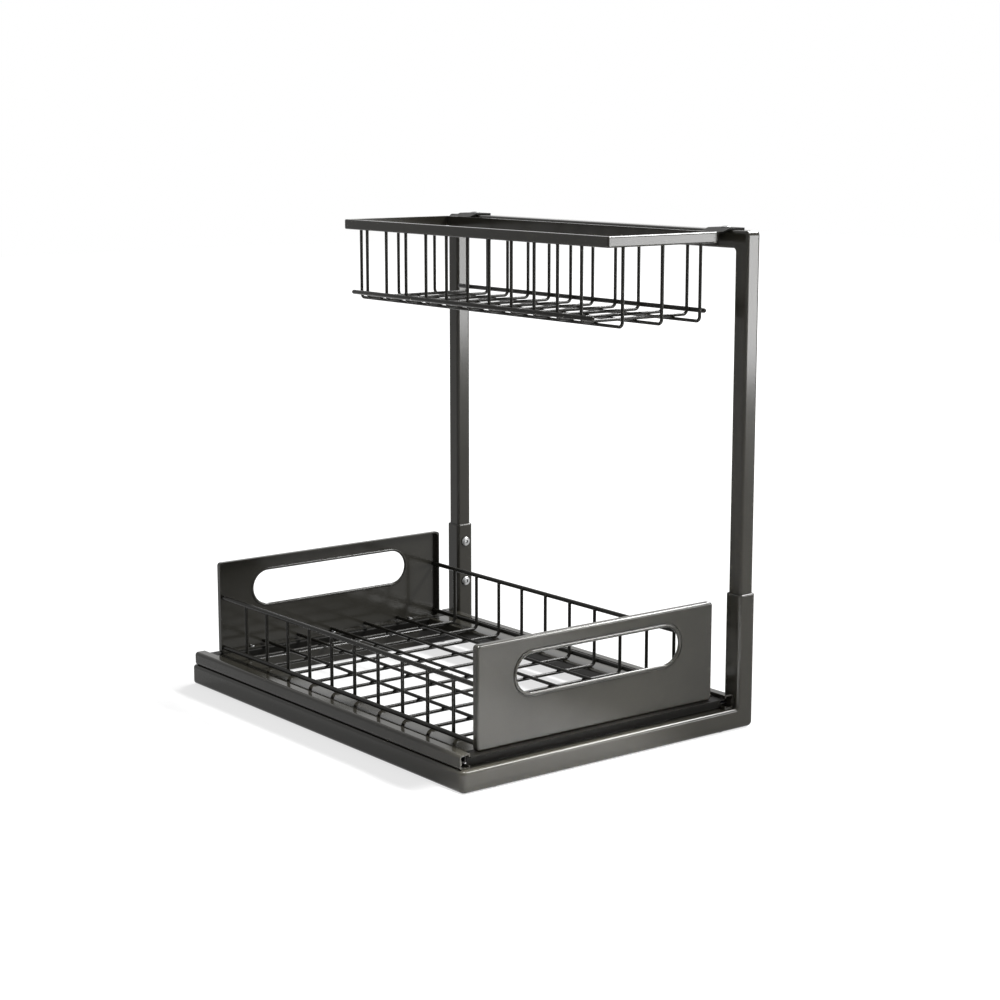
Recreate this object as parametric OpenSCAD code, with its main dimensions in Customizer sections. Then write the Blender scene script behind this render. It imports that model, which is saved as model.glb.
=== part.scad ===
/* [Overall] */
// Length of the base from the pull end to the far end
base_l = 416; // [360:1:480]
// Width of the base across the slides
base_w = 310; // [270:1:380]
// Height from the floor to the top of the post frame
frame_h = 422; // [360:1:500]

/* [Frame tube] */
// Outer size of the square post tube
post_tube = 15; // [13:0.5:20]
// Wall of the post tube
post_wall = 1.2; // [0.8:0.1:2]
// Clearance between the post and its socket, each side
post_fit = 0.15; // [0.1:0.05:0.4]
// Wall of the base tube and of the sockets
socket_wall = 1.35; // [1:0.05:2.5]
// Height of the sockets above the underside of the base
socket_h = 115; // [80:1:160]
// Edge radius of the base tube
base_edge_r = 3; // [1:0.25:4]
// Corner radius of the base, seen from above
base_corner_r = 4.25; // [4:0.25:8]
// Edge radius of the post tube
post_edge_r = 2.6; // [1:0.1:3]
// Outer corner radius of the post frame
post_corner_r = 4; // [3:0.25:7]
// Inner radius where two tubes meet
inner_bend_r = 3; // [1:0.5:6]
// Diameter of the post screws
post_screw_d = 5; // [4:0.5:6]
// Length of the post and hanger screws
post_screw_l = 8; // [6:0.5:12]
// Head height of the post screws
post_head_h = 2.4; // [1.5:0.1:3]
// Distance of the upper post screw from the top of the socket
post_screw_drop = 16; // [10:1:30]
// Pitch of the two screws in each socket
post_screw_pitch = 40; // [20:1:60]

/* [Feet] */
// Diameter of a foot pad
foot_d = 11; // [9:0.5:12]
// How far a foot stands below the base
foot_proud = 0.8; // [0.6:0.1:4]
// Distance of a foot from the end of its tube
foot_inset = 34; // [28:1:60]
// Diameter of the stem that plugs a foot into the tube
foot_stem_d = 6; // [4:0.5:8]

/* [Slides] */
// Height of the fixed slide rail
rail_h = 12; // [11:0.25:16]
// Depth of the fixed slide rail
rail_depth = 10; // [9:0.25:14]
// Sheet thickness of the slide rails
rail_t = 1.2; // [0.8:0.1:1.4]
// Outer radius of the folds of the fixed rail
rail_edge_r = 3; // [2:0.25:3.5]
// Height of the lips that turn in at the rail mouth
rail_lip = 1.4; // [0.8:0.1:1.6]
// Set-back of the rail ends from the ends of the base
rail_setback = 5; // [2:0.5:8]
// Set-back of the left rail from the outer side of the base
rail_inset = 1; // [0:0.25:3]
// Clearance between the right rail and the sockets
rail_post_gap = 0.5; // [0.2:0.1:2]
// Ball diameter
ball_d = 1.8; // [1.2:0.1:2]
// Clearance between a ball and each raceway
ball_play = 0.05; // [0.02:0.01:0.1]
// Distance between two balls
ball_pitch = 14; // [8:1:30]
// Length of a ball cage
cage_l = 120; // [80:1:124]
// Sheet thickness of a ball cage
cage_t = 0.6; // [0.4:0.1:0.8]
// Travel of the drawer
travel = 270; // [180:1:272]
// Length of the rubber stop at the far end of each rail
bumper_l = 6; // [4:0.5:12]
// Set-back of the sliding rails from the pull end of the fixed rails
sliding_setback = 6; // [0:0.5:10]
// Clearance between the fixed rail and the drawer frame
slide_gap = 0.5; // [0.3:0.1:2]

/* [Drawer] */
// Height of the two end panels
panel_h = 85; // [70:1:120]
// Sheet thickness of the end panels
panel_t = 1.2; // [0.8:0.1:2]
// Depth of the return flange round a panel
panel_return = 6; // [6:0.5:14]
// Radius of the folded edge of a panel
panel_edge_r = 2; // [1:0.1:2.5]
// Corner radius of a panel
panel_corner_r = 3; // [2.6:0.2:8]
// Corner radius inside the return flange
panel_inner_r = 4.5; // [2:0.5:8]
// Set-back of the panel face from the end of the base
panel_setback = 10; // [6:0.5:14]
// Step from the side of the drawer frame to the edge of a panel
panel_step = 10.75; // [8:0.25:16]
// Length of the handle slot
slot_l = 171; // [90:1:200]
// Height of the handle slot
slot_h = 31.5; // [22:0.5:40]
// Distance from the top of a panel to the handle slot
slot_drop = 14; // [10:0.5:20]
// Diameter of the rolled bead round the handle slot
slot_bead = 2.8; // [2:0.1:4]
// Depth of the pressed groove round the bead
slot_groove = 0.7; // [0.3:0.1:0.8]
// Height of the folded bars under the drawer
bar_h = 6.5; // [5:0.25:7.5]
// Radius of the folded edges of the bars
bar_fold_r = 2; // [1.3:0.1:2.5]
// Width of the side bars
side_bar_w = 26; // [22:1:36]
// Width of the cross bars
cross_bar_w = 14; // [12:0.5:20]
// Diameter of the thin wires of the drawer
wire_d = 3; // [2:0.1:4]
// Diameter of the side rail wires
rail_wire_d = 4; // [3:0.1:5]
// Height of the upper side rail wire above the drawer frame
side_rail_h = 52.5; // [30:0.5:68]
// Pitch of the cross wires of the drawer
wire_pitch = 35; // [24:0.5:40]
// Pitch of the lengthwise floor wires of the drawer
floor_pitch = 38; // [24:0.5:40]
// Bend radius of the wires, at their centre line
wire_bend = 4; // [3:0.25:8]
// Least distance from an end to the first wire of a row
wire_end_gap = 30; // [20:1:40]
// How deep two welded wires sink into each other
weld = 0.05; // [0.02:0.01:0.1]

/* [Upper basket] */
// Length of the rim
rim_l = 374; // [300:1:376]
// Width of the rim
rim_w = 119; // [90:1:137]
// Height of the rim bar
rim_h = 9; // [6:0.5:16]
// Thickness of the rim bar
rim_t = 4; // [3:0.25:6]
// Edge radius of the rim bar
rim_edge_r = 1.25; // [0.5:0.05:1.4]
// Corner radius of the rim
rim_corner_r = 1.6; // [1.5:0.1:3]
// Drop of the rim below the top of the post frame
rim_drop = 1; // [0:0.25:6]
// Gap between the rim and the top tube
rim_gap = 14.5; // [6:0.5:30]
// Height of the basket from the rim top to the underside of its floor
basket_h = 74; // [50:1:110]
// Diameter of the thin wires of the basket
basket_wire_d = 2.8; // [2:0.1:4]
// Diameter of the bottom side wires
basket_side_d = 4; // [3:0.1:5]
// Length of the bottom side wires
basket_side_l = 344; // [300:1:376]
// Pitch of the cross wires of the basket
basket_pitch = 30.5; // [20:0.5:40]
// Pitch of the lengthwise wires of the basket
basket_floor_pitch = 42; // [24:0.5:43]
// Width of a hanger bracket
hanger_w = 26; // [16:1:36]
// Distance of a hanger bracket from the end of the rim
hanger_inset = 1; // [0:0.5:40]
// Sheet thickness of a hanger bracket
hanger_t = 1.5; // [1:0.1:1.5]
// Depth of the hook lip behind the top tube
hanger_lip = 9; // [6:0.5:14]

/* [Fasteners] */
// Diameter of the slide rivets
rivet_d = 2.4; // [2:0.1:3]
// Distance of the first rivet from the rail ends
rivet_inset = 25; // [23:1:60]
// Number of rivets in each slide rail
rivet_count = 4; // [2:1:6]
// Diameter of the panel screws
panel_screw_d = 3; // [2.5:0.25:3.5]
// Distance between the panel screws
panel_screw_pitch = 90; // [60:1:105]
// Head height of the hanger screws
hanger_head_h = 1.3; // [1:0.1:2]
// Play of a fastener in its hole, on the diameter
hole_play = 0.2; // [0.1:0.05:0.4]

/* [Hidden] */
$fn = 48;

// Colours
gunmetal = [0.27, 0.26, 0.24];
gunmetal_light = [0.36, 0.36, 0.34];
wire_black = [0.13, 0.13, 0.12];
zinc = [0.62, 0.62, 0.60];
rubber_black = [0.06, 0.06, 0.06];

// Base
base_tube = post_tube + 2 * (post_fit + socket_wall);
base_z = foot_proud;
base_top = base_z + base_tube;
end_y = base_l / 2;
side_x = base_w / 2;
bore = base_tube - 2 * socket_wall;
socket_x = side_x - base_tube / 2;
socket_y = end_y - base_tube / 2;
socket_top = base_z + socket_h;

// Post frame
post_foot = base_top;
post_y = socket_y;
post_bore = post_tube - 2 * post_wall;
screw_top_z = socket_top - post_screw_drop;
tube_wall_y = socket_y - base_tube / 2;

// Slides: distances are counted inwards from the outer face of a fixed rail
left_rail_x = -side_x + rail_inset;
right_rail_x = side_x - base_tube - rail_post_gap - max(0, inner_bend_r - rail_edge_r);
slide_x = (left_rail_x + right_rail_x) / 2;
slide_half = (right_rail_x - left_rail_x) / 2;
rail_z = base_top + rail_h / 2;
rail_l = base_l - 2 * rail_setback;
rail_end = rail_l / 2;
bar_u = rail_depth + slide_gap;
sliding_t = 1;
web_gap = 1.3;
sliding_u = rail_t + web_gap;
race_z = rail_h / 2 - rail_t - ball_play - ball_d / 2;
sliding_h = 2 * (race_z - ball_d / 2 - ball_play);
sliding_near_y = -rail_end + sliding_setback;
sliding_far_y = rail_end - bumper_l;
lip_to_ball = 2.8;
ball_u = rail_depth - rail_t - lip_to_ball;
tab_l = 4;
tab_gap = 0.3;
cage_gap = 0.3;
cage_u = rail_t + cage_gap;
cage_reach = rail_depth - rail_t - cage_gap - cage_u;
cage_stop_gap = 0.5;
cage_front = -rail_end + travel / 2 + tab_l + cage_stop_gap;
cage_y = cage_front + cage_l / 2;
ball_count = floor((cage_l - ball_pitch / 2) / ball_pitch);
stop_l = 2;
stop_gap = 0.5;
rivet_head_h = 0.7;
rivet_tail_h = 0.8;

// Drawer
bar_x = slide_half - bar_u;
bar_z = rail_z - bar_h / 2;
bar_top = rail_z + bar_h / 2;
bar_t = 1.2;
panel_w = 2 * (bar_x - panel_step);
panel_y = end_y - panel_setback;
panel_in_y = panel_y - panel_t;
slot_z = panel_h - slot_drop - slot_h / 2;
rail_wire_x = panel_w / 2 - panel_t - rail_wire_d / 2;
u_wire_x = rail_wire_x - rail_wire_d / 2 - wire_d / 2 + weld;
floor_z = bar_top + wire_d / 2;
side_low_z = floor_z + wire_bend;
side_top_z = bar_top + side_rail_h;
wire_room = 2 * (panel_y - panel_return);
wire_count = floor((wire_room - 2 * wire_end_gap) / wire_pitch) + 1;
floor_count = floor((2 * u_wire_x - 2 * wire_end_gap) / floor_pitch) + 1;
panel_screw_y = panel_y - (panel_t + panel_return) / 2;
panel_head_d = 4.6;
panel_head_h = 1.5;
bar_leg_gap = 0.9;
bar_leg_y = panel_screw_y + panel_screw_d / 2 + bar_leg_gap;
bar_leg_h = bar_top - base_top - slide_gap;

// Upper basket
post_in_x = socket_x - post_tube / 2;
rim_x = post_in_x - rim_gap - rim_w / 2;
rim_top = frame_h - rim_drop;
rim_low = rim_top - rim_h;
long_floor_z = rim_top - basket_h + basket_wire_d / 2;
cross_floor_z = long_floor_z + basket_wire_d - weld;
basket_u_x = rim_w / 2 - rim_t / 2;
basket_u_y = rim_l / 2 - rim_t / 2;
basket_side_x = basket_u_x + basket_wire_d / 2 + basket_side_d / 2 - weld;
basket_side_z = cross_floor_z + wire_bend;
basket_count = floor((rim_l - 2 * wire_end_gap) / basket_pitch) + 1;
basket_long_count = floor((rim_w - wire_end_gap) / basket_floor_pitch) + 1;
hanger_y = rim_l / 2 - hanger_inset - hanger_w / 2;
hanger_z = frame_h + hanger_t;
rim_right = rim_x + rim_w / 2;
post_out_x = socket_x + post_tube / 2;

// Rounded rectangle, centred, with exact arcs
module rounded_rect(w, h, r) {
    square([w - 2 * r, h], center = true);
    square([w, h - 2 * r], center = true);
    for (x = [-1, 1], y = [-1, 1])
        translate([x * (w / 2 - r), y * (h / 2 - r)]) circle(r);
}

// Straight square tube along Z, solid, with rounded edges
module bar_stock(size, edge_r, length) {
    linear_extrude(length) rounded_rect(size, size, edge_r);
}

// Slab centred on the origin: corner radius seen along Z, and a rounded rim
module rounded_slab(w, d, h, corner_r, edge_r) {
    rotate([90, 0, 90])
        linear_extrude(w - 2 * corner_r, center = true) rounded_rect(d, h, edge_r);
    rotate([90, 0, 0])
        linear_extrude(d - 2 * corner_r, center = true) rounded_rect(w, h, edge_r);
    for (x = [-1, 1], y = [-1, 1])
        translate([x * (w / 2 - corner_r), y * (d / 2 - corner_r), 0])
            rotate_extrude() intersection() {
                rounded_rect(2 * corner_r, h, edge_r);
                translate([0, -h / 2]) square([corner_r, h]);
            }
}

// Quarter bend of square stock in the XY plane, from +X to +Y of its centre
module stock_bend(size, edge_r, inner_r) {
    rotate_extrude(angle = 90)
        translate([inner_r + size / 2, 0]) rounded_rect(size, size, edge_r);
}

// Round wire along Z
module rod(d, length) {
    cylinder(d = d, h = length);
}

// Wire bent to a U in the XZ plane; the floor run lies on the X axis
module u_wire(half_span, height, d, bend) {
    for (m = [0, 1]) mirror([m, 0, 0]) {
        rotate([0, 90, 0]) rod(d, half_span - bend);
        translate([half_span - bend, 0, bend]) rotate([-90, 0, 0])
            rotate_extrude(angle = 90) translate([bend, 0]) circle(d = d);
        translate([half_span, 0, bend]) rod(d, height - bend);
    }
}

// Block from x0 to x1 with rounded corners on its x0 side
module left_rounded(x0, x1, h, r) {
    if (r > 0) {
        translate([x0 + r, -h / 2]) square([x1 - x0 - r, h]);
        translate([x0, -h / 2 + r]) square([2 * r, h - 2 * r]);
        for (z = [-1, 1]) translate([x0 + r, z * (h / 2 - r)]) circle(r);
    } else translate([x0, -h / 2]) square([x1 - x0, h]);
}

// C profile of sheet, mouth towards +X, with optional lips at the mouth
module c_profile(h, depth, t, lip, r) {
    difference() {
        left_rounded(0, depth, h, r);
        left_rounded(t, depth + 1, h - 2 * t, r - t);
    }
    if (lip > 0) for (z = [-1, 1])
        translate([depth - t, z * (h / 2 - (lip + t) / 2) - (lip + t) / 2]) square([t, lip + t]);
}

// Places a left-hand slide piece; the profile's X runs inwards from the rail
module on_left() {
    translate([left_rail_x, 0, rail_z]) children();
}

module on_right() {
    translate([right_rail_x, 0, rail_z]) mirror([1, 0, 0]) children();
}

// Extrudes an XZ profile along Y between two places
module along_y(from_y, to_y) {
    translate([0, to_y, 0]) rotate([90, 0, 0]) linear_extrude(to_y - from_y) children();
}

// Pan head screw: head on +Z, shank down from the origin
module screw(d, length, head_d, head_h) {
    translate([0, 0, -length]) cylinder(d = d, h = length);
    difference() {
        rotate_extrude() intersection() {
            rounded_rect(head_d, 2 * head_h, head_h * 0.6);
            square([head_d / 2, head_h]);
        }
        translate([0, 0, head_h * 0.45]) cylinder(d = d * 0.6, h = head_h, $fn = 6);
    }
}

// Front half of the base: cross tube, bend and socket, at the +Y end
module end_frame() {
    y = socket_y;
    z = base_z + base_tube / 2;
    translate([-side_x + base_corner_r, y, z]) rotate([0, 90, 0])
        bar_stock(base_tube, base_edge_r, base_w - 2 * base_corner_r);
    translate([-side_x + base_tube / 2, y, z])
        rounded_slab(base_tube, base_tube, base_tube, base_corner_r, base_edge_r);
    translate([socket_x, y, z]) rotate([90, 0, 0])
        rounded_slab(base_tube, base_tube, base_tube, base_corner_r, base_edge_r);
    translate([socket_x, y, z]) bar_stock(base_tube, base_edge_r, socket_top - z);
    translate([side_x - base_tube - inner_bend_r, y, base_top + inner_bend_r])
        rotate([-90, 0, 0]) stock_bend(base_tube, base_edge_r, inner_bend_r);
}

// Side tube of the base between the two end frames
module side_tube(x) {
    translate([x, -end_y + base_corner_r, base_z + base_tube / 2]) rotate([-90, 0, 0])
        bar_stock(base_tube, base_edge_r, base_l - 2 * base_corner_r);
}

// Hollow of the base tubes
module base_hollow() {
    inner_w = base_w - 2 * socket_wall;
    inner_l = base_l - 2 * socket_wall;
    translate([0, 0, base_z + base_tube / 2]) difference() {
        cube([inner_w, inner_l, bore], center = true);
        cube([inner_w - 2 * bore, inner_l - 2 * bore, base_tube], center = true);
        for (x = [-1, 1], y = [-1, 1])
            translate([x * side_x, y * end_y, 0])
                cube([2 * base_corner_r, 2 * base_corner_r, base_tube], center = true);
    }
}

// Centres of the four feet
module at_feet() {
    for (x = [-1, 1], y = [-1, 1])
        translate([x * (side_x - foot_inset), y * socket_y, base_z]) children();
}

// Screw places on the inner face of each socket, +Z pointing out of the tube
module at_post_screws() {
    for (m = [0, 1], i = [0, 1]) mirror([0, m, 0])
        translate([socket_x, tube_wall_y, screw_top_z - i * post_screw_pitch])
            rotate([90, 0, 0]) children();
}

module base_frame() {
    color(gunmetal) difference() {
        union() {
            end_frame();
            mirror([0, 1, 0]) end_frame();
            side_tube(-side_x + base_tube / 2);
            side_tube(socket_x);
        }
        base_hollow();
        for (y = [-1, 1]) translate([socket_x, y * socket_y, base_top + socket_h / 2])
            cube([bore, bore, socket_h], center = true);
        at_feet() translate([0, 0, -1]) cylinder(d = foot_stem_d + hole_play, h = socket_wall + 2);
        at_post_screws() translate([0, 0, -socket_wall - 1])
            cylinder(d = post_screw_d + hole_play, h = socket_wall + 2);
    }
}

module rubber_feet() {
    color(rubber_black) at_feet() {
        translate([0, 0, -foot_proud]) cylinder(d = foot_d, h = foot_proud);
        cylinder(d = foot_stem_d, h = socket_wall + 3);
    }
}

// Post frame: two posts and the top tube, bent from one square tube
module post_frame() {
    corner_y = post_y + post_tube / 2 - post_corner_r;
    top_z = frame_h - post_tube / 2;
    bend_y = post_y - post_tube / 2 - inner_bend_r;
    bend_z = frame_h - post_tube - inner_bend_r;
    color(gunmetal) difference() {
        union() {
            for (y = [-post_y, post_y]) translate([socket_x, y, post_foot])
                bar_stock(post_tube, post_edge_r, frame_h - post_corner_r - post_foot);
            translate([socket_x, -corner_y, top_z]) rotate([-90, 0, 0])
                bar_stock(post_tube, post_edge_r, 2 * corner_y);
            for (y = [-post_y, post_y]) translate([socket_x, y, top_z]) rotate([0, 90, 0])
                rounded_slab(post_tube, post_tube, post_tube, post_corner_r, post_edge_r);
            for (m = [0, 1]) mirror([0, m, 0]) translate([socket_x, bend_y, bend_z])
                rotate([90, 0, 90]) stock_bend(post_tube, post_edge_r, inner_bend_r);
        }
        for (y = [-post_y, post_y]) translate([socket_x, y, frame_h / 2 - post_wall])
            cube([post_bore, post_bore, frame_h], center = true);
        translate([socket_x, 0, top_z]) cube([post_bore, 2 * post_y, post_bore], center = true);
        at_post_screws() translate([0, 0, -post_tube / 2])
            cylinder(d = post_screw_d + hole_play, h = post_tube / 2);
        for (y = [-hanger_y, hanger_y]) translate([socket_x, y, frame_h - post_wall - 1])
            cylinder(d = post_screw_d + hole_play, h = post_wall + 2);
    }
}

module post_screws() {
    color(zinc) at_post_screws()
        screw(post_screw_d, post_screw_l, 1.8 * post_screw_d, post_head_h);
}

// Fixed rail: welded to the base, mouth towards the drawer, stop tab at the front
module fixed_rail() {
    along_y(-rail_end, rail_end) c_profile(rail_h, rail_depth, rail_t, rail_lip, rail_edge_r);
    translate([rail_t / 2, -rail_end, -ball_d])
        cube([sliding_u - tab_gap - rail_t / 2, tab_l, 2 * ball_d]);
}

module left_fixed_rail() {
    color(gunmetal) on_left() fixed_rail();
}

module right_fixed_rail() {
    color(gunmetal) on_right() fixed_rail();
}

// Rubber stops at the far end of the fixed rails
module rail_bumpers() {
    block_h = rail_h - 2 * rail_t;
    color(rubber_black) {
        on_left() bumper(block_h);
        on_right() bumper(block_h);
    }
}

module bumper(block_h) {
    along_y(rail_end - bumper_l + tab_gap, rail_end)
        left_rounded(rail_t, rail_depth - rail_t, block_h, rail_edge_r);
}

// Places along the cage where a pair of balls sits
module at_balls() {
    for (i = [0:ball_count - 1], z = [-1, 1])
        translate([ball_u, cage_y + (i - (ball_count - 1) / 2) * ball_pitch, z * race_z])
            children();
}

// Ball cage: a thin channel with a pocket for each ball
module ball_cage() {
    difference() {
        along_y(cage_y - cage_l / 2, cage_y + cage_l / 2) translate([cage_u, 0])
            c_profile(2 * race_z + cage_t, cage_reach, cage_t, 0, rail_edge_r - rail_t - tab_gap);
        at_balls() cylinder(d = ball_d + 2 * ball_play, h = 2 * cage_t, center = true);
    }
}

module left_ball_cage() {
    color(zinc) on_left() ball_cage();
}

module right_ball_cage() {
    color(zinc) on_right() ball_cage();
}

module left_balls() {
    color(zinc) on_left() at_balls() sphere(d = ball_d);
}

module right_balls() {
    color(zinc) on_right() at_balls() sphere(d = ball_d);
}

// Rivet places along a sliding rail, +Z pointing at the rail's web from inside
module at_rivets() {
    first_y = sliding_near_y + rivet_inset;
    pitch = (sliding_far_y - rivet_inset - first_y) / (rivet_count - 1);
    for (i = [0:rivet_count - 1])
        translate([bar_u - sliding_t, first_y + i * pitch, 0]) rotate([0, 90, 0]) children();
}

// Sliding rail: fixed to the drawer frame, mouth towards the fixed rail
module sliding_rail() {
    difference() {
        union() {
            along_y(sliding_near_y, sliding_far_y) translate([bar_u, 0]) mirror([1, 0])
                c_profile(sliding_h, bar_u - sliding_u, sliding_t, 0, sliding_t);
            translate([rail_t + stop_gap, sliding_far_y - stop_l, -sliding_h / 2])
                cube([sliding_u + sliding_t - rail_t - stop_gap, stop_l, sliding_h]);
        }
        at_rivets() translate([0, 0, -1]) cylinder(d = rivet_d + hole_play, h = 2 * sliding_t + 2);
    }
}

module left_sliding_rail() {
    color(zinc) on_left() sliding_rail();
}

module right_sliding_rail() {
    color(zinc) on_right() sliding_rail();
}

// Rivets between the sliding rails and the side bars
module rivet() {
    grip = sliding_t + bar_t;
    translate([0, 0, -rivet_head_h]) cylinder(d = 1.4 * rivet_d, h = rivet_head_h);
    cylinder(d = rivet_d, h = grip);
    translate([0, 0, grip]) cylinder(d = 1.3 * rivet_d, h = rivet_tail_h);
}

module slide_rivets() {
    color(zinc) {
        on_left() at_rivets() rivet();
        on_right() at_rivets() rivet();
    }
}

// L profile of sheet: one leg along +X from the fold, the other down along -Y
module l_profile(w, h, t, r) {
    difference() {
        union() {
            translate([r, -h]) square([w - r, h]);
            translate([0, -h]) square([r, h - r]);
            translate([r, -r]) circle(r);
        }
        translate([t, -h - 1]) square([w, h + 1 - r]);
        translate([r, -h - 1]) square([w, h + 1 - t]);
        translate([r, -r]) circle(r - t);
    }
}

// Cross bar at the +Y end: a folded channel, its top flange standing out as a lip
module cross_bar() {
    near_y = rail_end - cross_bar_w;
    difference() {
        translate([slide_x, near_y, bar_top]) rotate([90, 0, 90])
            linear_extrude(2 * bar_x, center = true) {
                l_profile(cross_bar_w, bar_h, bar_t, bar_fold_r);
                translate([bar_leg_y - near_y, -bar_leg_h]) square([bar_t, bar_leg_h]);
            }
        at_panel_screws() translate([0, 0, -bar_h / 2])
            cylinder(d = panel_screw_d + hole_play, h = bar_h);
    }
}

// Screw places of a panel at the +Y end, on the drawer frame
module at_panel_screws() {
    for (i = [-1, 0, 1])
        translate([slide_x + i * panel_screw_pitch, panel_screw_y, bar_top]) children();
}

module front_cross_bar() {
    color(wire_black) mirror([0, 1, 0]) cross_bar();
}

module back_cross_bar() {
    color(wire_black) cross_bar();
}

// Side bar: folded sheet, open below, between the cross bars
module side_bar() {
    half_l = rail_end - cross_bar_w;
    difference() {
        along_y(-half_l, half_l) translate([bar_u + side_bar_w / 2, bar_h / 2]) rotate(-90)
            c_profile(side_bar_w, bar_h, bar_t, 0, bar_fold_r);
        at_rivets() translate([0, 0, -1])
            cylinder(d = rivet_d + hole_play, h = sliding_t + bar_t + 2);
    }
}

module left_side_bar() {
    color(gunmetal) on_left() side_bar();
}

module right_side_bar() {
    color(gunmetal) on_right() side_bar();
}

// Stadium outline of the handle slot
module slot_outline(length, height) {
    square([length - height, height], center = true);
    for (x = [-1, 1]) translate([x * (length - height) / 2, 0]) circle(height / 2);
}

// Round bar bent to a stadium round the handle slot, in the XY plane
module slot_ring(out, d) {
    r = slot_h / 2 + out;
    half = (slot_l - slot_h) / 2;
    for (m = [0, 1]) mirror([m, 0, 0]) translate([half, 0, 0]) rotate([0, 0, -90])
        rotate_extrude(angle = 180) translate([r, 0]) circle(d = d);
    for (y = [-r, r]) translate([-half, y, 0]) rotate([0, 90, 0]) rod(d, 2 * half);
}

// Pressed tray in the XY plane: face down at z = 0, open above at the return's depth
module panel_tray() {
    slab_h = panel_return + panel_edge_r;
    difference() {
        translate([0, 0, slab_h / 2])
            rounded_slab(panel_w, panel_h, slab_h, panel_corner_r, panel_edge_r);
        translate([0, 0, panel_t]) linear_extrude(slab_h)
            rounded_rect(panel_w - 2 * panel_t, panel_h - 2 * panel_t, panel_inner_r);
        translate([0, 0, panel_return + slab_h / 2])
            cube([2 * panel_w, 2 * panel_h, slab_h], center = true);
    }
}

// End panel at the +Y end: pressed tray with a beaded handle slot
module end_panel() {
    slot_y = slot_z - panel_h / 2;
    difference() {
        translate([slide_x, panel_y, bar_top + panel_h / 2]) rotate([90, 0, 0]) {
            difference() {
                panel_tray();
                translate([0, slot_y, -1]) linear_extrude(panel_return)
                    slot_outline(slot_l + slot_bead, slot_h + slot_bead);
                translate([0, slot_y, 0]) slot_ring(slot_bead + slot_groove / 2, 2 * slot_groove);
            }
            translate([0, slot_y, panel_t / 2]) slot_ring(slot_bead / 2, slot_bead);
        }
        at_panel_screws() translate([0, 0, -1])
            cylinder(d = panel_screw_d + hole_play, h = panel_t + 2);
    }
}

module front_panel() {
    color(gunmetal_light) mirror([0, 1, 0]) end_panel();
}

module back_panel() {
    color(gunmetal_light) end_panel();
}

module panel_screws() {
    color(zinc) for (m = [0, 1]) mirror([0, m, 0]) at_panel_screws() translate([0, 0, panel_t])
        screw(panel_screw_d, panel_t + bar_t + 2, panel_head_d, panel_head_h);
}

// Cross wires: each runs down one side, under the drawer and up the other side
module drawer_cross_wires() {
    color(wire_black) for (i = [0:wire_count - 1])
        translate([slide_x, (i - (wire_count - 1) / 2) * wire_pitch, floor_z])
            u_wire(u_wire_x, side_top_z - floor_z, wire_d, wire_bend);
}

// Straight wire along Y between the two end panels
module panel_to_panel(x, z, d) {
    translate([slide_x + x, -panel_in_y, z]) rotate([-90, 0, 0]) rod(d, 2 * panel_in_y);
}

module drawer_floor_wires() {
    color(wire_black) for (i = [0:floor_count - 1])
        panel_to_panel((i - (floor_count - 1) / 2) * floor_pitch, floor_z + wire_d - weld, wire_d);
}

module side_rails(side) {
    for (z = [side_low_z, side_top_z]) panel_to_panel(side * rail_wire_x, z, rail_wire_d);
}

module left_side_rails() {
    color(wire_black) side_rails(-1);
}

module right_side_rails() {
    color(wire_black) side_rails(1);
}

// Rim of the upper basket: flat bar on edge, welded to a closed frame
module basket_rim() {
    color(gunmetal) translate([rim_x, 0, rim_low + rim_h / 2]) difference() {
        rounded_slab(rim_w, rim_l, rim_h, rim_corner_r, rim_edge_r);
        cube([rim_w - 2 * rim_t, rim_l - 2 * rim_t, 2 * rim_h], center = true);
    }
}

module basket_cross_wires() {
    color(wire_black) for (i = [0:basket_count - 1])
        translate([rim_x, (i - (basket_count - 1) / 2) * basket_pitch, cross_floor_z])
            u_wire(basket_u_x, rim_low - cross_floor_z, basket_wire_d, wire_bend);
}

module basket_long_wires() {
    color(wire_black) for (i = [0:basket_long_count - 1])
        translate([rim_x + (i - (basket_long_count - 1) / 2) * basket_floor_pitch, 0, long_floor_z])
            rotate([0, 0, 90]) u_wire(basket_u_y, rim_low - long_floor_z, basket_wire_d, wire_bend);
}

module basket_side_wires() {
    color(wire_black) for (x = [-1, 1])
        translate([rim_x + x * basket_side_x, -basket_side_l / 2, basket_side_z])
            rotate([-90, 0, 0]) rod(basket_side_d, basket_side_l);
}

// Hanger bracket: from the rim, over the top tube and down behind it
module hanger_profile() {
    t = hanger_t;
    tab = rim_top - t;
    lip_x = post_out_x;
    polygon([
        [rim_right, rim_low], [rim_right + t, rim_low], [rim_right + t, tab],
        [rim_right + rim_gap / 2, tab], [post_in_x, frame_h],
        [lip_x, frame_h], [lip_x, frame_h - hanger_lip], [lip_x + t, frame_h - hanger_lip],
        [lip_x + t, hanger_z], [post_in_x - t / 2, hanger_z],
        [rim_right + rim_gap / 2 - t / 2, rim_top], [rim_right, rim_top]
    ]);
}

module hanger_brackets() {
    color(gunmetal) for (y = [-hanger_y, hanger_y]) difference() {
        along_y(y - hanger_w / 2, y + hanger_w / 2) hanger_profile();
        translate([socket_x, y, frame_h - 1])
            cylinder(d = post_screw_d + hole_play, h = hanger_t + 2);
    }
}

module hanger_screws() {
    color(zinc) for (y = [-hanger_y, hanger_y]) translate([socket_x, y, hanger_z])
        screw(post_screw_d, post_screw_l, 1.8 * post_screw_d, hanger_head_h);
}

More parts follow.
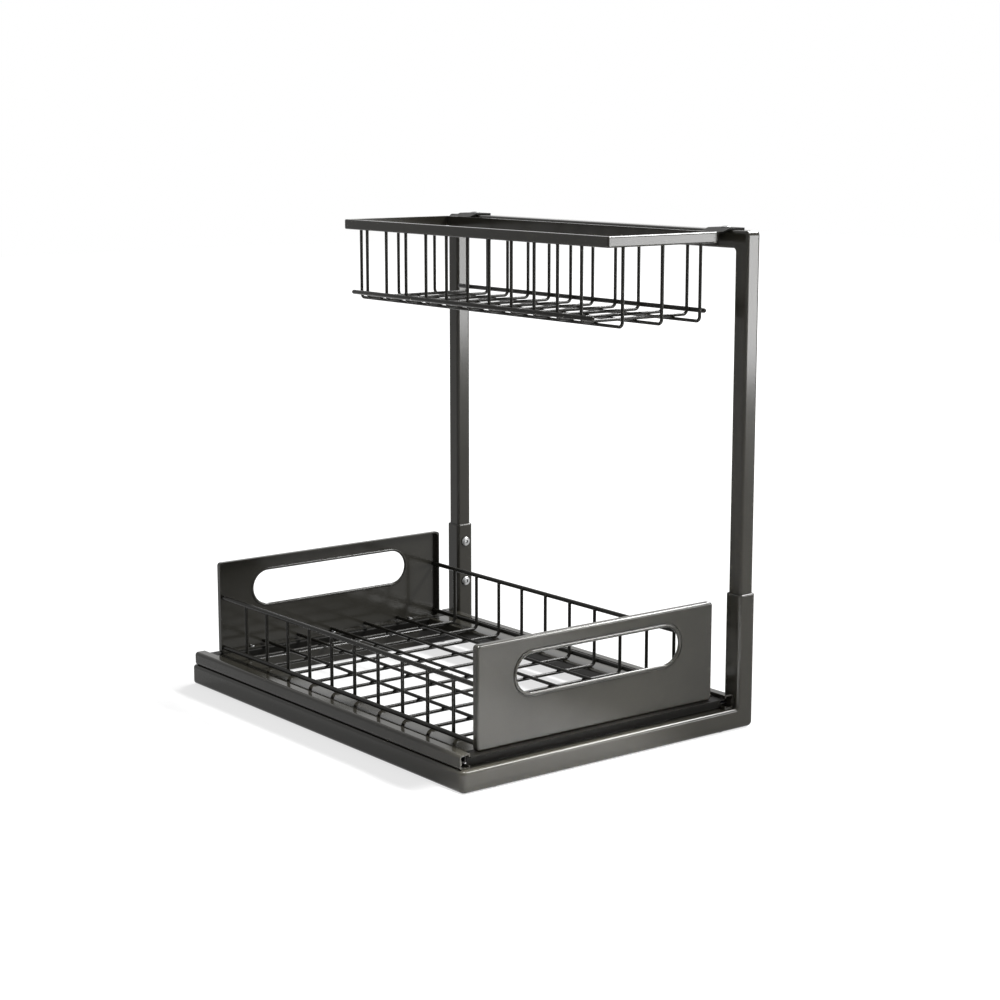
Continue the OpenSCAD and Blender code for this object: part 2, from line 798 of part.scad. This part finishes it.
base_frame();
rubber_feet();
post_frame();
post_screws();
left_fixed_rail();
right_fixed_rail();
rail_bumpers();
left_ball_cage();
right_ball_cage();
left_balls();
right_balls();
left_sliding_rail();
right_sliding_rail();
slide_rivets();
front_cross_bar();
back_cross_bar();
left_side_bar();
right_side_bar();
front_panel();
back_panel();
panel_screws();
drawer_cross_wires();
drawer_floor_wires();
left_side_rails();
right_side_rails();
basket_rim();
basket_cross_wires();
basket_long_wires();
basket_side_wires();
hanger_brackets();
hanger_screws();
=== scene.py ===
import math

import bmesh
import bpy
from mathutils import Matrix, Vector


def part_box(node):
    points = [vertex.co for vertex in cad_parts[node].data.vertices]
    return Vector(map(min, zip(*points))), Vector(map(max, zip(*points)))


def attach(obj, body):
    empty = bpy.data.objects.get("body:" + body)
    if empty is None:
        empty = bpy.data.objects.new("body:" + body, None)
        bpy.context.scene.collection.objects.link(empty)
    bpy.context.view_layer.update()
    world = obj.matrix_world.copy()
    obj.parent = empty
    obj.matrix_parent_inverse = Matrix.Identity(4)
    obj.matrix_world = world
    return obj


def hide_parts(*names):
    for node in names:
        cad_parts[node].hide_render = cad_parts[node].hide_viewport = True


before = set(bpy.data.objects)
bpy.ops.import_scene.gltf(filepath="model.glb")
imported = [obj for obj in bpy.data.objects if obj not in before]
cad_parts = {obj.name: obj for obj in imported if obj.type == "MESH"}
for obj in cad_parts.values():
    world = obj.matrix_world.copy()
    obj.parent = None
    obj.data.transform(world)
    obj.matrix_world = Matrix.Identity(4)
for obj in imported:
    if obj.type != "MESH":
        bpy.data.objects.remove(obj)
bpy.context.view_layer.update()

# Base frame: square steel tube bent and welded to a flat ring, with an upright socket at each end of one side.
# The welds are ground flush and the whole frame is powder coated: a dark warm gunmetal with a satin gloss,
# a faint orange peel and a little metal flake.
GUNMETAL = (0.0245, 0.0230, 0.0182)
COAT_ROUGHNESS = 0.125
COAT_SPECULAR = 0.22
BLOTCH_M = 0.06
PEEL_M = 0.0021
PEEL_DEPTH_M = 0.000005
FLAKE_M = 0.0003
FLAKE_SHARE = 0.25
SHADE_SPAN = 0.26
SHINIER = 0.04
DULLER = 0.05


def spread(tree, source, low, high):
    """Maps a 0 to 1 pattern to a range of values."""
    node = tree.nodes.new("ShaderNodeMapRange")
    node.inputs["To Min"].default_value = low
    node.inputs["To Max"].default_value = high
    tree.links.new(source, node.inputs["Value"])
    return node.outputs["Result"]


def pattern(tree, kind, size, stretch=(1, 1, 1), **settings):
    """A procedural texture in the part's own metres, with features of the given size."""
    place = tree.nodes.new("ShaderNodeTexCoord")
    scale = tree.nodes.new("ShaderNodeMapping")
    scale.inputs["Scale"].default_value = [s / size for s in stretch]
    texture = tree.nodes.new(kind)
    texture.inputs["Scale"].default_value = 1.0
    for socket, value in settings.items():
        texture.inputs[socket].default_value = value
    tree.links.new(place.outputs["Object"], scale.inputs["Vector"])
    tree.links.new(scale.outputs["Vector"], texture.inputs["Vector"])
    return texture


def two_tones(tree, source, dark, light):
    """Mixes two colours by a pattern."""
    mix = tree.nodes.new("ShaderNodeMix")
    mix.data_type = "RGBA"
    mix.inputs["A"].default_value = (*dark, 1)
    mix.inputs["B"].default_value = (*light, 1)
    tree.links.new(source, mix.inputs["Factor"])
    return mix.outputs["Result"]


def added(tree, first, second, share):
    """Adds a share of one pattern to another."""
    node = tree.nodes.new("ShaderNodeMath")
    node.operation = "MULTIPLY_ADD"
    node.inputs[1].default_value = share
    tree.links.new(first, node.inputs[0])
    tree.links.new(second, node.inputs[2])
    return node.outputs[0]


def bump(tree, shader, source, depth):
    """Raises the surface by depth metres where the pattern is 1."""
    node = tree.nodes.new("ShaderNodeBump")
    node.inputs["Distance"].default_value = depth
    tree.links.new(source, node.inputs["Height"])
    tree.links.new(node.outputs["Normal"], shader.inputs["Normal"])


def new_material(name):
    """A new material with its node tree and its shader."""
    material = bpy.data.materials.new(name)
    material.use_nodes = True
    return material, material.node_tree, material.node_tree.nodes["Principled BSDF"]


def powder_coat(name, colour, roughness=COAT_ROUGHNESS, specular=COAT_SPECULAR):
    """Satin powder coat: cloudy colour, metal flake, roughness that follows both, and orange peel."""
    material, tree, shader = new_material(name)
    blotch = pattern(tree, "ShaderNodeTexNoise", BLOTCH_M, Detail=4.0)
    flake = pattern(tree, "ShaderNodeTexVoronoi", FLAKE_M)
    peel = pattern(tree, "ShaderNodeTexNoise", PEEL_M, Detail=2.0)
    grain = tree.nodes.new("ShaderNodeSeparateColor")
    tree.links.new(flake.outputs["Color"], grain.inputs["Color"])
    shade = added(tree, grain.outputs["Red"], spread(tree, blotch.outputs["Fac"], 0.0, 1 - FLAKE_SHARE), FLAKE_SHARE)
    darker = [c * (1 - SHADE_SPAN) for c in colour]
    lighter = [c * (1 + SHADE_SPAN) for c in colour]
    tree.links.new(two_tones(tree, shade, darker, lighter), shader.inputs["Base Color"])
    tree.links.new(spread(tree, shade, roughness - SHINIER, roughness + DULLER), shader.inputs["Roughness"])
    shader.inputs["Specular IOR Level"].default_value = specular
    bump(tree, shader, peel.outputs["Fac"], PEEL_DEPTH_M)
    return material


def dress(node, material):
    """Gives a CAD node its material."""
    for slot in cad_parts[node].material_slots:
        slot.material = material


frame_coat = powder_coat("frame_coat", GUNMETAL)
dress("base_frame", frame_coat)

# Feet: four moulded black rubber feet, each pressed with its stem into a hole in the underside of the base.
# The pad has a rounded rim and a shallow dished underside, so that it grips on its edge.
FOOT_RIM_R = 0.0003
FOOT_DISH_DEPTH = 0.0002
FOOT_DISH = ((0.55, 1.0), (0.72, 0.6), (0.8, 0.0))  # share of the pad's radius, share of the dish's depth
FOOT_STEM_SHARE = 0.53
FOOT_STEM_TIP = 0.8
FOOT_STEM_LEAD = 0.001
RUBBER_BLACK = (0.010, 0.010, 0.010)
RUBBER_DUSTY = (0.028, 0.028, 0.027)
RUBBER_ROUGHNESS = (0.55, 0.85)
DUST_M = 0.004
GRIT_M = 0.0004
GRIT_DEPTH_M = 0.00003
JOIN_M = 0.000002
SMOOTH_DEG = 38
STEPS_ROUND = 48


def joined_mesh(node):
    """The mesh of a CAD node, with the corners of its facets joined."""
    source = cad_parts[node].data
    shape = bmesh.new()
    points = [shape.verts.new(vertex.co) for vertex in source.vertices]
    for polygon in source.polygons:
        shape.faces.new([points[i] for i in polygon.vertices])
    bmesh.ops.remove_doubles(shape, verts=shape.verts, dist=JOIN_M)
    return shape


def solids(node):
    """Low and high corners of each separate solid in a CAD node."""
    shape = joined_mesh(node)
    boxes = []
    unseen = set(shape.verts)
    while unseen:
        group = [unseen.pop()]
        for vertex in group:
            for edge in vertex.link_edges:
                other = edge.other_vert(vertex)
                if other in unseen:
                    unseen.remove(other)
                    group.append(other)
        low = Vector([min(vertex.co[i] for vertex in group) for i in range(3)])
        high = Vector([max(vertex.co[i] for vertex in group) for i in range(3)])
        boxes.append((low, high))
    shape.free()
    return sorted(boxes, key=lambda box: tuple(round(v, 4) for v in box[0]))


def turned(shape, rings, place):
    """Adds a form turned about Z from rings of (radius, height); a radius may be a function of the angle."""
    loops = []
    for radius, height in rings:
        loop = []
        for i in range(STEPS_ROUND):
            angle = 2 * math.pi * i / STEPS_ROUND
            r = radius(angle) if callable(radius) else radius
            loop.append(shape.verts.new(place @ Vector((r * math.cos(angle), r * math.sin(angle), height))))
        loops.append(loop)
    for lower, upper in zip(loops, loops[1:]):
        for i in range(STEPS_ROUND):
            j = (i + 1) % STEPS_ROUND
            shape.faces.new((lower[i], lower[j], upper[j], upper[i]))
    shape.faces.new(loops[0][::-1])
    shape.faces.new(loops[-1])


def quarter(centre_r, centre_z, radius, start, end, steps=4):
    """Ring sizes along an arc in a turned profile, from one angle to another in degrees."""
    angles = [math.radians(start + (end - start) * i / steps) for i in range(steps + 1)]
    return [(centre_r + radius * math.cos(a), centre_z + radius * math.sin(a)) for a in angles]


def add_piece(name, shape, material, body, slot, *replaced):
    """Turns a finished mesh into a piece that rides on a body."""
    mesh = bpy.data.meshes.new(name)
    shape.to_mesh(mesh)
    shape.free()
    mesh.materials.append(material)
    mesh.polygons.foreach_set("use_smooth", [True] * len(mesh.polygons))
    mesh.set_sharp_from_angle(angle=math.radians(SMOOTH_DEG))
    piece = bpy.data.objects.new(name, mesh)
    bpy.context.scene.collection.objects.link(piece)
    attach(piece, body)
    if replaced:
        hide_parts(*replaced)
    return piece


rubber, tree, shader = new_material("moulded_rubber")
dust = pattern(tree, "ShaderNodeTexNoise", DUST_M, Detail=5.0)
grit = pattern(tree, "ShaderNodeTexNoise", GRIT_M, Detail=3.0)
tree.links.new(two_tones(tree, dust.outputs["Fac"], RUBBER_BLACK, RUBBER_DUSTY), shader.inputs["Base Color"])
tree.links.new(spread(tree, dust.outputs["Fac"], *RUBBER_ROUGHNESS), shader.inputs["Roughness"])
bump(tree, shader, grit.outputs["Fac"], GRIT_DEPTH_M)

shape = bmesh.new()
for low, high in solids("rubber_feet"):
    pad_r = (high.x - low.x) / 2
    pad_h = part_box("base_frame")[0][2]
    stem_r = pad_r * FOOT_STEM_SHARE
    top = high.z
    centre = Matrix.Translation(((low.x + high.x) / 2, (low.y + high.y) / 2, 0))
    rings = [(pad_r * share, FOOT_DISH_DEPTH * depth) for share, depth in FOOT_DISH]
    rings += quarter(pad_r - FOOT_RIM_R, FOOT_RIM_R, FOOT_RIM_R, -90, 0)
    rings += quarter(pad_r - FOOT_RIM_R / 2, pad_h - FOOT_RIM_R / 2, FOOT_RIM_R / 2, 0, 90)
    rings += [(stem_r, pad_h), (stem_r, top - FOOT_STEM_LEAD), (stem_r * FOOT_STEM_TIP, top)]
    turned(shape, rings, centre)
add_piece("moulded_feet", shape, rubber, "frame", "rubber", "rubber_feet")

# Post frame: one lighter square steel tube bent to a portal and pushed down into the two sockets.
# It has the same powder coat as the base.
dress("post_frame", frame_coat)

# Socket rims: the mouth of each socket is rolled in round its post, so that the wall ends in a quarter round.
# The rim is part of the base and coated with it.
SOCKET_CORNER_R = 0.003
RIM_ROLL_R = 0.0013
RIM_STEPS = 6


def rounded_square(half, corner_r, height, place, steps=8):
    """Points of a square with rounded corners about the Z axis."""
    points = []
    for turn in range(4):
        for i in range(steps + 1):
            angle = math.pi / 2 * (turn + i / steps)
            middle_x = (half - corner_r) * (1 if turn in (0, 3) else -1)
            middle_y = (half - corner_r) * (1 if turn in (0, 1) else -1)
            x = middle_x + corner_r * math.cos(angle)
            y = middle_y + corner_r * math.sin(angle)
            points.append(place @ Vector((x, y, height)))
    return points


base_low, base_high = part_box("base_frame")
post_low, post_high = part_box("post_frame")
post_x = (post_low[0] + post_high[0]) / 2
socket_half = base_high[0] - post_x
shape = bmesh.new()
for socket_y in (base_low[1] + socket_half, base_high[1] - socket_half):
    place = Matrix.Translation((post_x, socket_y, base_high[2]))
    loops = []
    for i in range(RIM_STEPS + 1):
        angle = math.pi / 2 * i / RIM_STEPS
        inset = RIM_ROLL_R * (1 - math.cos(angle))
        outline = rounded_square(socket_half - inset, SOCKET_CORNER_R - inset, RIM_ROLL_R * math.sin(angle), place)
        loops.append([shape.verts.new(point) for point in outline])
    inner = rounded_square(socket_half - RIM_ROLL_R, SOCKET_CORNER_R - RIM_ROLL_R, 0, place)
    loops.append([shape.verts.new(point) for point in inner])
    for outer_loop, inner_loop in zip(loops, loops[1:] + loops[:1]):
        for i in range(len(outer_loop)):
            j = (i + 1) % len(outer_loop)
            shape.faces.new((outer_loop[i], outer_loop[j], inner_loop[j], inner_loop[i]))
add_piece("socket_rolled_rims", shape, frame_coat, "frame", "powder_coat")

# Post screws: two zinc-plated M5 button heads with a hexagon socket through the inner face of each base socket.
# They clamp the posts, so that the frame can be shipped flat.
SHANK_R = 0.0025
SHANK_L = 0.0079
BUTTON_HEAD_H = 0.0024
BUTTON_EDGE_R = 0.0004
BUTTON_DOME = (0.96, 0.9, 0.8, 0.7, 0.6, 0.5)
BUTTON_DROP = 0.55
HEX_FLATS = 0.003
HEX_DEPTH = 0.0013
HEX_CHAMFER = 0.0002
ZINC_DARK = (0.24, 0.243, 0.245)
ZINC_LIGHT = (0.40, 0.402, 0.40)
ZINC_ROUGHNESS = (0.22, 0.46)
ZINC_CLOUD_M = 0.0025
ZINC_RUB_M = 0.0003
ZINC_RUB_DEPTH_M = 0.000004


def hexagon(flats):
    """Radius of a hexagon across its flats at each angle."""
    def radius(angle):
        return flats / 2 / math.cos((angle + math.pi / 6) % (math.pi / 3) - math.pi / 6)
    return radius


def button_rings(head_r, head_h, shank_r, shank_l):
    """Profile of a button head screw, from the floor of its socket round to the tip of its shank."""
    depth = min(HEX_DEPTH, head_h * 0.6)
    rings = [(shank_r * 0.8, -shank_l), (shank_r, -shank_l + shank_r * 0.3), (shank_r, 0)]
    rings += [(head_r - BUTTON_EDGE_R, 0)]
    rings += quarter(head_r - BUTTON_EDGE_R, BUTTON_EDGE_R, BUTTON_EDGE_R, -90, 0)
    rings += [(head_r, head_h * 0.4)]
    rings += [(head_r * r, head_h * (1 - BUTTON_DROP * r ** 3)) for r in BUTTON_DOME]
    rings += [(hexagon(HEX_FLATS * 1.12), head_h), (hexagon(HEX_FLATS), head_h - HEX_CHAMFER)]
    rings += [(hexagon(HEX_FLATS), head_h - depth)]
    return rings


zinc, tree, shader = new_material("zinc_plate")
cloud = pattern(tree, "ShaderNodeTexNoise", ZINC_CLOUD_M, Detail=5.0)
rub = pattern(tree, "ShaderNodeTexNoise", ZINC_RUB_M, stretch=(1, 1, 0.2), Detail=3.0)
tree.links.new(two_tones(tree, cloud.outputs["Fac"], ZINC_DARK, ZINC_LIGHT), shader.inputs["Base Color"])
tree.links.new(spread(tree, rub.outputs["Fac"], *ZINC_ROUGHNESS), shader.inputs["Roughness"])
shader.inputs["Metallic"].default_value = 1.0
bump(tree, shader, rub.outputs["Fac"], ZINC_RUB_DEPTH_M)

shape = bmesh.new()
for low, high in solids("post_screws"):
    centre = (low + high) / 2
    inner = 1 if centre.y < 0 else -1
    head_y = high.y if inner > 0 else low.y
    face = Matrix.Translation((centre.x, head_y - inner * BUTTON_HEAD_H, centre.z))
    turn = Matrix.Rotation(-inner * math.pi / 2, 4, "X")
    turned(shape, button_rings((high.x - low.x) / 2, BUTTON_HEAD_H, SHANK_R, SHANK_L), face @ turn)
add_piece("post_button_screws", shape, zinc, "frame", "zinc_steel", "post_screws")

# Fixed slide rails: folded steel C rails welded along the top of the base and coated together with it.
# Their lips turn in at the mouth, and a tab at the pull end stops the ball cage.
SHEARED_EDGE = 0.00022
SHORTEST_EDGE = 0.001
SHARP_DEG = 50
FLAT_DEG = 0.6


def broken_edges(node):
    """The mesh of a CAD node, with its sheared edges broken by the coat's rounding."""
    shape = joined_mesh(node)
    bmesh.ops.dissolve_limit(shape, angle_limit=math.radians(FLAT_DEG), verts=shape.verts, edges=shape.edges)
    sharp = [edge for edge in shape.edges if len(edge.link_faces) == 2
             and edge.calc_face_angle() > math.radians(SHARP_DEG) and edge.calc_length() > SHORTEST_EDGE]
    bmesh.ops.bevel(shape, geom=sharp, offset=SHEARED_EDGE, segments=2, profile=0.5,
                    affect="EDGES", clamp_overlap=False)
    return shape


def folded(name, node, material, body, slot):
    """A folded sheet part with broken edges, in place of its CAD node."""
    piece = add_piece(name, broken_edges(node), material, body, slot, node)
    even = piece.modifiers.new("even_faces", "WEIGHTED_NORMAL")
    even.keep_sharp = True
    return piece


for side in ("left", "right"):
    folded(f"{side}_fixed_channel", f"{side}_fixed_rail", frame_coat, "frame", "powder_coat")

# Rail bumpers: moulded rubber blocks pushed into the far ends of the fixed rails.
# They stop the sliding rails softly and are of the same rubber as the feet.
dress("rail_bumpers", rubber)

# Ball cages: thin zinc-plated steel channels with a punched pocket for each ball.
# Nothing fixes them: they run between the rails at half the drawer's travel.
for side in ("left", "right"):
    dress(f"{side}_ball_cage", zinc)

# Balls: hardened and polished steel balls, held by the pockets of the cages.
# They have the faint oil film of a new slide.
BALL_DARK = (0.62, 0.62, 0.61)
BALL_LIGHT = (0.80, 0.80, 0.79)
BALL_ROUGHNESS = (0.06, 0.16)
FILM_M = 0.0008

ball_steel, tree, shader = new_material("ball_polish")
film = pattern(tree, "ShaderNodeTexNoise", FILM_M, Detail=3.0)
tree.links.new(two_tones(tree, film.outputs["Fac"], BALL_DARK, BALL_LIGHT), shader.inputs["Base Color"])
tree.links.new(spread(tree, film.outputs["Fac"], *BALL_ROUGHNESS), shader.inputs["Roughness"])
shader.inputs["Metallic"].default_value = 1.0
for side in ("left", "right"):
    dress(f"{side}_balls", ball_steel)

# Sliding rails: folded steel channels with a black zinc finish and faint marks along their length.
# They run on the balls inside the fixed rails.
BLACK_ZINC_DARK = (0.018, 0.018, 0.018)
BLACK_ZINC_LIGHT = (0.040, 0.039, 0.036)
BLACK_ZINC_ROUGHNESS = (0.28, 0.5)
BLACK_ZINC_METAL = 0.7
BLACK_ZINC_CLOUD_M = 0.006
DRAW_MARK_M = 0.0005
DRAW_MARK_DEPTH_M = 0.000005

black_zinc, tree, shader = new_material("black_zinc")
cloud = pattern(tree, "ShaderNodeTexNoise", BLACK_ZINC_CLOUD_M, Detail=4.0)
draw = pattern(tree, "ShaderNodeTexNoise", DRAW_MARK_M, stretch=(1, 0.03, 1), Detail=3.0)
tree.links.new(two_tones(tree, cloud.outputs["Fac"], BLACK_ZINC_DARK, BLACK_ZINC_LIGHT), shader.inputs["Base Color"])
tree.links.new(spread(tree, draw.outputs["Fac"], *BLACK_ZINC_ROUGHNESS), shader.inputs["Roughness"])
shader.inputs["Metallic"].default_value = BLACK_ZINC_METAL
bump(tree, shader, draw.outputs["Fac"], DRAW_MARK_DEPTH_M)
for side in ("left", "right"):
    folded(f"{side}_sliding_channel", f"{side}_sliding_rail", black_zinc, "drawer", "black_zinc")

# Slide rivets: zinc-plated steel rivets with flat heads.
# They join the sliding rails to the side bars of the drawer.
dress("slide_rivets", zinc)

# Drawer bars: two folded steel channels along the sides and two lipped channels across the ends.
# They are spot welded at the corners; the side bars have the frame's coat. The cross bars get a near-black, dull
# coat that is painted shade, standing in for the shadow in the recess under the panels.
# Painted shade: a near-black colour with very low gloss, in place of the shadow under the panels.
SHADE_BLACK = (0.0065, 0.0062, 0.0053)

shade_black = powder_coat("shade_black", SHADE_BLACK, roughness=0.4, specular=0.05)
for side in ("left", "right"):
    folded(f"{side}_side_channel", f"{side}_side_bar", frame_coat, "drawer", "powder_coat")
for end in ("front", "back"):
    folded(f"{end}_cross_channel", f"{end}_cross_bar", shade_black, "drawer", "wire_coat")

# End panels: sheet steel pressed to shallow trays, with a rolled bead and a groove round the handle slot.
# They are coated a little lighter than the frame.
PANEL_GUNMETAL = (0.0265, 0.0253, 0.0210)

panel_coat = powder_coat("panel_coat", PANEL_GUNMETAL)
dress("front_panel", panel_coat)
dress("back_panel", panel_coat)

# Panel screws: zinc-plated M3 pan heads with a cross recess.
# They go down through each panel's flange into its cross bar.
PAN_HEAD_H = 0.0015
PAN_SHANK_R = 0.0015
PAN_DOME = (0.98, 0.94, 0.86, 0.76, 0.66)
PAN_DROP = 0.35
CROSS_ARM = 0.0013
CROSS_HALF_WIDTH = 0.00032
CROSS_DEPTH = 0.001


def cross(arm, half_width):
    """Radius of a cross recess at each angle."""
    def radius(angle):
        off = abs((angle + math.pi / 4) % (math.pi / 2) - math.pi / 4)
        side = half_width / math.sin(off) if off > 0.001 else arm
        return min(arm, side)
    return radius


def pan_rings(head_r, head_h, shank_r, shank_l):
    """Profile of a pan head screw, from the tip of its shank round to the floor of its recess."""
    rings = [(shank_r * 0.7, -shank_l), (shank_r, -shank_l + shank_r * 0.4), (shank_r, 0), (head_r, 0)]
    rings += [(head_r, head_h * 0.5)]
    rings += [(head_r * r, head_h * (1 - PAN_DROP * r ** 4)) for r in PAN_DOME]
    rings += [(cross(CROSS_ARM, CROSS_HALF_WIDTH), head_h)]
    rings += [(cross(CROSS_ARM * 0.55, CROSS_HALF_WIDTH * 0.8), head_h - CROSS_DEPTH)]
    return rings


shape = bmesh.new()
for low, high in solids("panel_screws"):
    seat = Matrix.Translation(((low.x + high.x) / 2, (low.y + high.y) / 2, high.z - PAN_HEAD_H))
    turned(shape, pan_rings((high.x - low.x) / 2, PAN_HEAD_H, PAN_SHANK_R, high.z - PAN_HEAD_H - low.z), seat)
add_piece("panel_pan_screws", shape, zinc, "drawer", "zinc_steel", "panel_screws")

# Drawer wires: drawn steel wire, bent, cut and resistance welded where it crosses, then coated near black.
# Each crossing has the small pressed-out collar that the weld leaves.
WIRE_BLACK = (0.0135, 0.0128, 0.0105)
COLLAR_OUT = 0.0003
COLLAR_HALF_H = 0.0007

wire_coat = powder_coat("wire_coat", WIRE_BLACK, roughness=0.24, specular=0.12)
for node in ("drawer_cross_wires", "drawer_floor_wires", "left_side_rails", "right_side_rails"):
    dress(node, wire_coat)


def collar(shape, place, thin_axis, wire_r):
    """Adds the flattened collar of a weld, thin along the line from wire to wire."""
    size = [wire_r + COLLAR_OUT] * 3
    size[thin_axis] = COLLAR_HALF_H
    bmesh.ops.create_icosphere(shape, subdivisions=2, radius=1.0,
                               matrix=Matrix.Translation(place) @ Matrix.Diagonal((*size, 1)))


def middle(box):
    """The middle of a solid, from its low and high corners."""
    return (box[0] + box[1]) / 2


cross_wires = solids("drawer_cross_wires")
floor_wires = solids("drawer_floor_wires")
wire_r = (cross_wires[0][1].y - cross_wires[0][0].y) / 2
shape = bmesh.new()
for bent in cross_wires:
    y = middle(bent).y
    for straight in floor_wires:
        collar(shape, (middle(straight).x, y, straight[0].z), 2, wire_r)
    for side, x in (("left", bent[0].x), ("right", bent[1].x)):
        for rail in solids(f"{side}_side_rails"):
            collar(shape, (x, y, middle(rail).z), 0, wire_r)
add_piece("drawer_weld_collars", shape, wire_coat, "drawer", "wire_coat")

# Basket rim: flat steel bar on edge, bent and welded to a closed frame.
# It has the same coat as the base.
dress("basket_rim", frame_coat)

# Basket wires: bent wires butt welded under the rim and resistance welded where they cross.
# The thick side wires are cut with rounded ends.
basket_cross = solids("basket_cross_wires")
basket_long = solids("basket_long_wires")
for node in ("basket_cross_wires", "basket_long_wires"):
    dress(node, wire_coat)

shape = bmesh.new()
side_wires = solids("basket_side_wires")
for low, high in side_wires:
    r = (high.x - low.x) / 2
    length = high.y - low.y
    rings = quarter(0, r, r, -88, 0) + quarter(0, length - r, r, 0, 88)
    end = Matrix.Translation(((low.x + high.x) / 2, low.y, (low.z + high.z) / 2))
    turned(shape, rings, end @ Matrix.Rotation(-math.pi / 2, 4, "X"))
add_piece("basket_side_rods", shape, wire_coat, "frame", "wire_coat", "basket_side_wires")

wire_r = (basket_cross[0][1].y - basket_cross[0][0].y) / 2
shape = bmesh.new()
for bent in basket_cross:
    y = middle(bent).y
    for lengthwise in basket_long:
        collar(shape, (middle(lengthwise).x, y, bent[0].z), 2, wire_r)
    for x, side_wire, outside in ((bent[0].x, side_wires[0], 1), (bent[1].x, side_wires[1], -1)):
        collar(shape, (x, y, middle(side_wire).z), 0, wire_r)
        collar(shape, (x + outside * wire_r, y, bent[1].z), 2, wire_r)
for lengthwise in basket_long:
    for y in (lengthwise[0].y + wire_r, lengthwise[1].y - wire_r):
        collar(shape, (middle(lengthwise).x, y, lengthwise[1].z), 2, wire_r)
add_piece("basket_weld_collars", shape, wire_coat, "frame", "wire_coat")

# Hanger brackets: folded steel straps welded inside the rim and hooked over the top tube of the posts.
# They have the same near-black coat as the cross bars, the coat that stands in for shade there.
folded("hanger_straps", "hanger_brackets", shade_black, "frame", "powder_coat")

# Hanger screws: low zinc-plated button heads with a hexagon socket.
# Each holds its strap down on the top tube.
LOW_HEAD_H = 0.0013

shape = bmesh.new()
for low, high in solids("hanger_screws"):
    seat = Matrix.Translation(((low.x + high.x) / 2, (low.y + high.y) / 2, high.z - LOW_HEAD_H))
    turned(shape, button_rings((high.x - low.x) / 2, LOW_HEAD_H, SHANK_R, SHANK_L), seat)
add_piece("hanger_button_screws", shape, zinc, "frame", "zinc_steel", "hanger_screws")

# Studio: a plain grey floor that looks white to the camera and in reflections, white surroundings,
# a softbox at the right, a long strip light high on the right, and two narrow downlights that brighten
# the floor before the drawer.
WORLD_LIGHT = 0.4
FLOOR_GREY = 0.3
FLOOR_GLOW = 0.7
FLOOR_ROUGHNESS = 0.9
DOWNLIGHT_HEIGHT = 0.5
DOWNLIGHT_SPREAD_DEG = 14
# name, x, y, width along X, depth along Y, radiance
DOWNLIGHTS = (("near_pool", -0.15, -0.325, 0.43, 0.22, 13.0), ("far_pool", 0.04, -0.53, 0.40, 0.20, 9.5))


def seen_directly(tree):
    """1 for camera, glossy and transmission rays, 0 for the rays that only carry light."""
    path = tree.nodes.new("ShaderNodeLightPath")
    total = path.outputs["Is Camera Ray"]
    for ray in ("Is Glossy Ray", "Is Transmission Ray"):
        add = tree.nodes.new("ShaderNodeMath")
        add.operation = "MAXIMUM"
        tree.links.new(total, add.inputs[0])
        tree.links.new(path.outputs[ray], add.inputs[1])
        total = add.outputs[0]
    return total


world = bpy.data.worlds.new("studio")
bpy.context.scene.world = world
world.use_nodes = True
tree = world.node_tree
background = tree.nodes["Background"]
background.inputs["Color"].default_value = (1, 1, 1, 1)
tree.links.new(spread(tree, seen_directly(tree), WORLD_LIGHT, 1.0), background.inputs["Strength"])

bpy.ops.mesh.primitive_plane_add(size=12)
floor = bpy.context.object
floor.name = "floor"
material, tree, shader = new_material("pale_floor")
shader.inputs["Base Color"].default_value = (FLOOR_GREY, FLOOR_GREY, FLOOR_GREY, 1)
shader.inputs["Roughness"].default_value = FLOOR_ROUGHNESS
shader.inputs["Specular IOR Level"].default_value = 0.0
shader.inputs["Emission Color"].default_value = (1, 1, 1, 1)
tree.links.new(spread(tree, seen_directly(tree), 0.0, FLOOR_GLOW), shader.inputs["Emission Strength"])
floor.data.materials.append(material)


def softbox(name, place, aim, width, height, radiance):
    """A rectangular lamp that the camera doesn't see; its width lies level and its height tilts with the aim."""
    data = bpy.data.lights.new(name, "AREA")
    data.shape = "RECTANGLE"
    data.size = width
    data.size_y = height
    data.energy = radiance * math.pi * width * height
    lamp = bpy.data.objects.new(name, data)
    bpy.context.scene.collection.objects.link(lamp)
    lamp.location = place
    lamp.rotation_euler = (Vector(aim) - Vector(place)).to_track_quat("-Z", "Y").to_euler()
    lamp.visible_camera = False
    return lamp


softbox("right_front", (1.50, -1.72, 0.30), (0.1, -0.1, 0.25), 0.75, 0.5, 18.5)
softbox("overhead", (4.5, -0.8, 5.0), (0.0, -0.3, 0.05), 8.0, 1.0, 46.0)
for name, x, y, width, depth, radiance in DOWNLIGHTS:
    downlight = softbox(name, (x, y, DOWNLIGHT_HEIGHT), (x, y, 0.0), width, depth, radiance)
    downlight.data.spread = math.radians(DOWNLIGHT_SPREAD_DEG)

# Camera: a long lens from the front left, a little above the top of the posts and tilted down.
# It has no shift and no depth of field.
LENS_MM = 75.94
CAMERA_PLACE = (-1.083796, -1.454544, 0.511905)
CAMERA_TURN_DEG = 37.747
CAMERA_DOWN_DEG = 10.233

camera_data = bpy.data.cameras.new("camera")
camera_data.sensor_width = 36
camera_data.lens = LENS_MM
camera_data.clip_start = 0.01
camera = bpy.data.objects.new("camera", camera_data)
bpy.context.scene.collection.objects.link(camera)
camera.location = CAMERA_PLACE
azimuth = math.radians(CAMERA_TURN_DEG)
elevation = math.radians(CAMERA_DOWN_DEG)
level = math.cos(elevation)
forward = Vector((math.sin(azimuth) * level, math.cos(azimuth) * level, -math.sin(elevation)))
camera.rotation_euler = forward.to_track_quat("-Z", "Y").to_euler()
bpy.context.scene.camera = camera
bpy.context.scene.view_settings.view_transform = "Standard"
